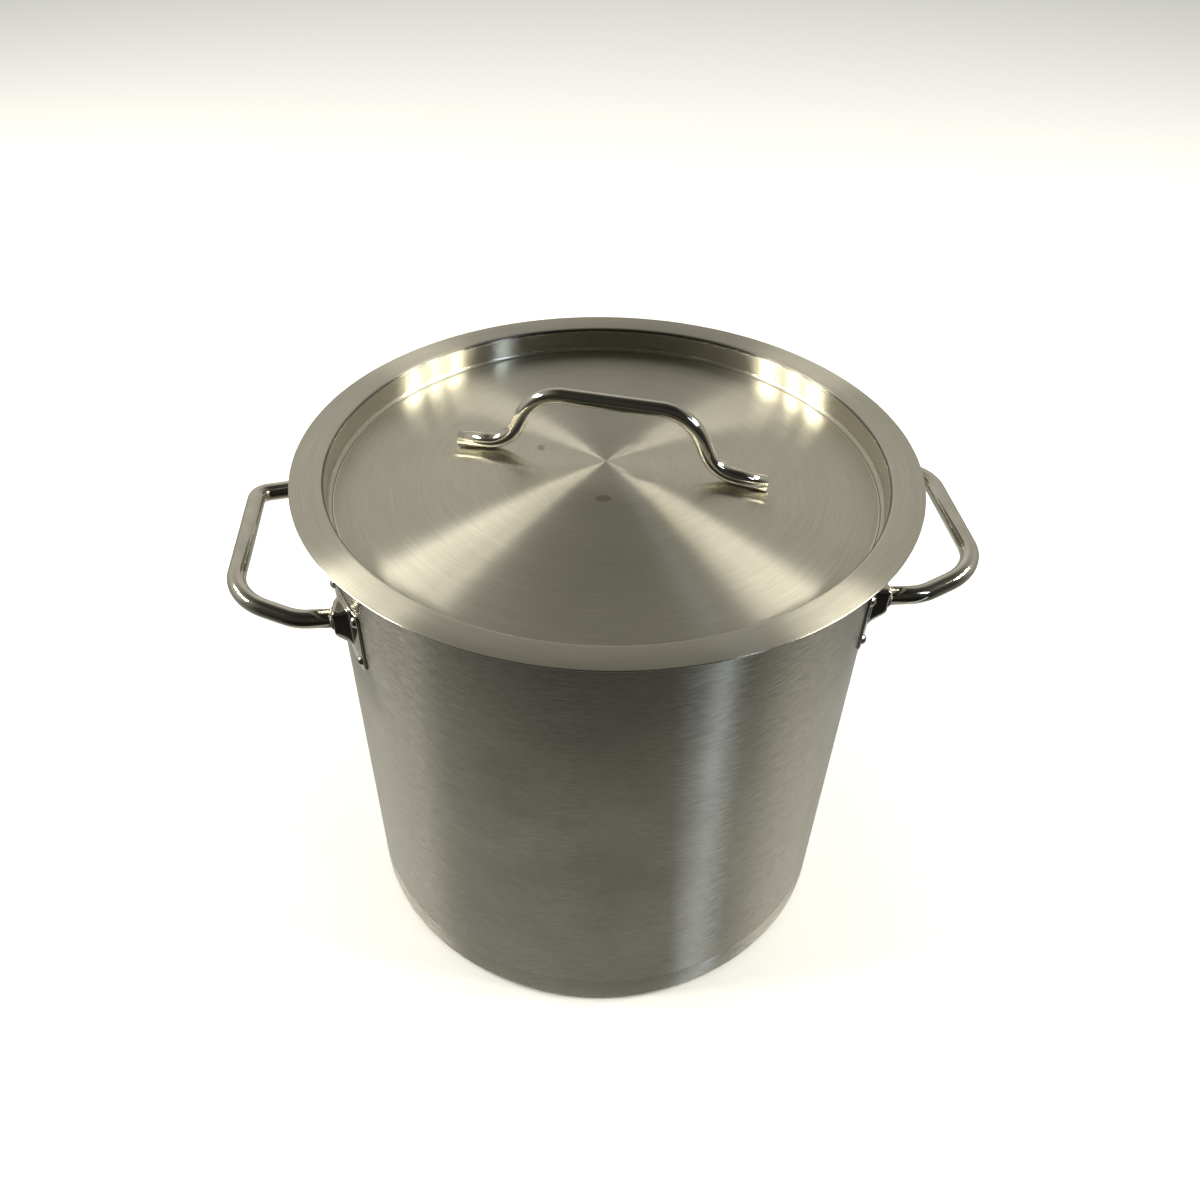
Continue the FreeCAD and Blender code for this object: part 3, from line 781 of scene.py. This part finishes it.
def studioWorld(room):
    # the room that lights the metal: walls above the horizon, dim overhead and towards -Y, and
    # below it a floor that darkens towards -Y; the camera itself sees a plain backdrop
    world = bpy.data.worlds.new("studio")
    bpy.context.scene.world = world
    world.use_nodes = True
    tree = world.node_tree
    place = addNode(tree, "ShaderNodeTexCoord").outputs["Generated"]
    split = addNode(tree, "ShaderNodeSeparateXYZ", {0: place})
    walls = glowRamp(tree, split.outputs[2], room["byHeight"])
    sides = glowRamp(tree, split.outputs[0], room["bySide"])
    depths = glowRamp(tree, split.outputs[1], room["byDepth"])
    above = mixColour(tree, 1.0, mixColour(tree, 1.0, walls, sides, "MULTIPLY"), depths, "MULTIPLY")
    below = glowRamp(tree, split.outputs[1], room["floor"])
    share = remap(tree, split.outputs[2], room["skirtLow"], room["skirtHigh"], 0.0, 1.0)
    seen = addNode(tree, "ShaderNodeLightPath").outputs["Is Camera Ray"]
    glow = mixColour(tree, seen, mixColour(tree, share, below, above), hexColour(room["backdrop"]))
    tree.links.new(glow, tree.nodes["Background"].inputs[0])


wallTint = "#fffbee"
floorTint = "#fefcf0"
farTint = "#fffcf2"
plain = "#ffffff"
# every step is a place from -1 to 1 along its axis, the glow there and its tint; the floor
# gives way to the walls between the skirt's two heights
room = {
    "backdrop": "#f3f2ee", "skirtLow": -0.12, "skirtHigh": 0.02,
    "byHeight": [(-1.0, 0.4, wallTint), (0.1, 0.62, wallTint), (0.45, 0.72, wallTint),
                 (0.68, 0.56, wallTint), (0.84, 0.2, wallTint), (0.93, 0.06, wallTint),
                 (1.0, 0.05, wallTint)],
    "bySide": [(-1.0, 0.85, plain), (-0.6, 0.8, plain), (-0.3, 0.82, plain), (0.0, 0.95, plain),
               (0.4, 0.74, plain), (1.0, 0.7, plain)],
    "byDepth": [(-1.0, 0.06, plain), (-0.55, 0.10, plain), (-0.25, 0.45, plain), (0.0, 1.0, plain),
                (1.0, 1.0, plain)],
    "floor": [(-1.0, 0.01, floorTint), (-0.70, 0.015, floorTint), (-0.6, 0.04, floorTint),
              (-0.48, 0.09, floorTint), (-0.30, 0.14, floorTint), (-0.1, 0.2, floorTint),
              (0.1, 0.3, farTint), (1.0, 0.4, farTint)]}
# bearing, width and glow of each window pane
windows = {"left": {"rise": 33, "panes": [(160, 0.34, 48), (173, 0.20, 75), (187, 0.36, 58)]},
           "right": {"rise": 35, "panes": [(339, 0.26, 55), (350, 0.18, 95), (3, 0.30, 55)]}}
lamps = {}
for side, window in windows.items():
    for i, (bearing, width, glow) in enumerate(window["panes"]):
        lamps["%s window pane %d" % (side, i + 1)] = {
            "bearing": bearing, "rise": window["rise"], "distance": 2.6, "width": width, "tall": 0.42,
            "glow": glow, "colour": "#fffaeb"}
lamps.update({
    "cool window": {"bearing": 315, "rise": 36, "distance": 2.6, "width": 0.16, "tall": 0.9,
                    "glow": 10, "colour": "#dcebff"},
    "cool strip": {"bearing": 315, "rise": -40, "distance": 2.3, "width": 0.16, "tall": 2.2,
                   "glow": 1.3, "colour": "#e4efff"},
    "floor glow": {"bearing": 0, "rise": -90, "distance": 0.299, "width": 0.8, "tall": 0.8,
                   "glow": 0.22, "colour": "#fefbec", "shape": "DISK"},
    "floor fill": {"bearing": 90, "rise": 85, "distance": 5.0, "width": 7.0, "tall": 7.0,
                   "glow": 1.3, "colour": "#f8f9ff", "glossy": False}})

paleFloor(ground)
studioWorld(room)
for name, lamp in lamps.items():
    softLight(name, lamp)

cameraSetup = {"distance": 2.932, "height": 1.834, "bearing": -95.88, "pitch": 44.28, "yaw": -4.15,
               "roll": 0.38, "lens": 31.62, "shiftX": 0.0192, "shiftY": 0.0708}


def placeCamera(setup):
    # distance and height are in lid radii, from the middle of the flange's top; angles in degrees
    data = bpy.data.cameras.new("camera")
    data.lens = setup["lens"]
    data.shift_x = setup["shiftX"]
    data.shift_y = setup["shiftY"]
    data.clip_start = 0.01
    camera = bpy.data.objects.new("camera", data)
    bearing = math.radians(setup["bearing"])
    reach = setup["distance"] * kettle["lidRadius"]
    camera.location = (reach * math.cos(bearing), reach * math.sin(bearing),
                       kettle["flangeTop"] + setup["height"] * kettle["lidRadius"])
    tilt = Matrix.Rotation(math.radians(90 - setup["pitch"]), 3, "X")
    turn = Matrix.Rotation(math.radians(setup["yaw"]), 3, "Z")
    roll = Matrix.Rotation(math.radians(setup["roll"]), 3, "Z")
    camera.rotation_euler = (turn @ tilt @ roll).to_euler()
    bpy.context.scene.collection.objects.link(camera)
    bpy.context.scene.camera = camera


placeCamera(cameraSetup)
bpy.context.scene.view_settings.view_transform = "Standard"
print("light and camera placed")

sizes = {"cad": [list(corner) for corner in cadBox], "visual": [list(corner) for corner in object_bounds()]}
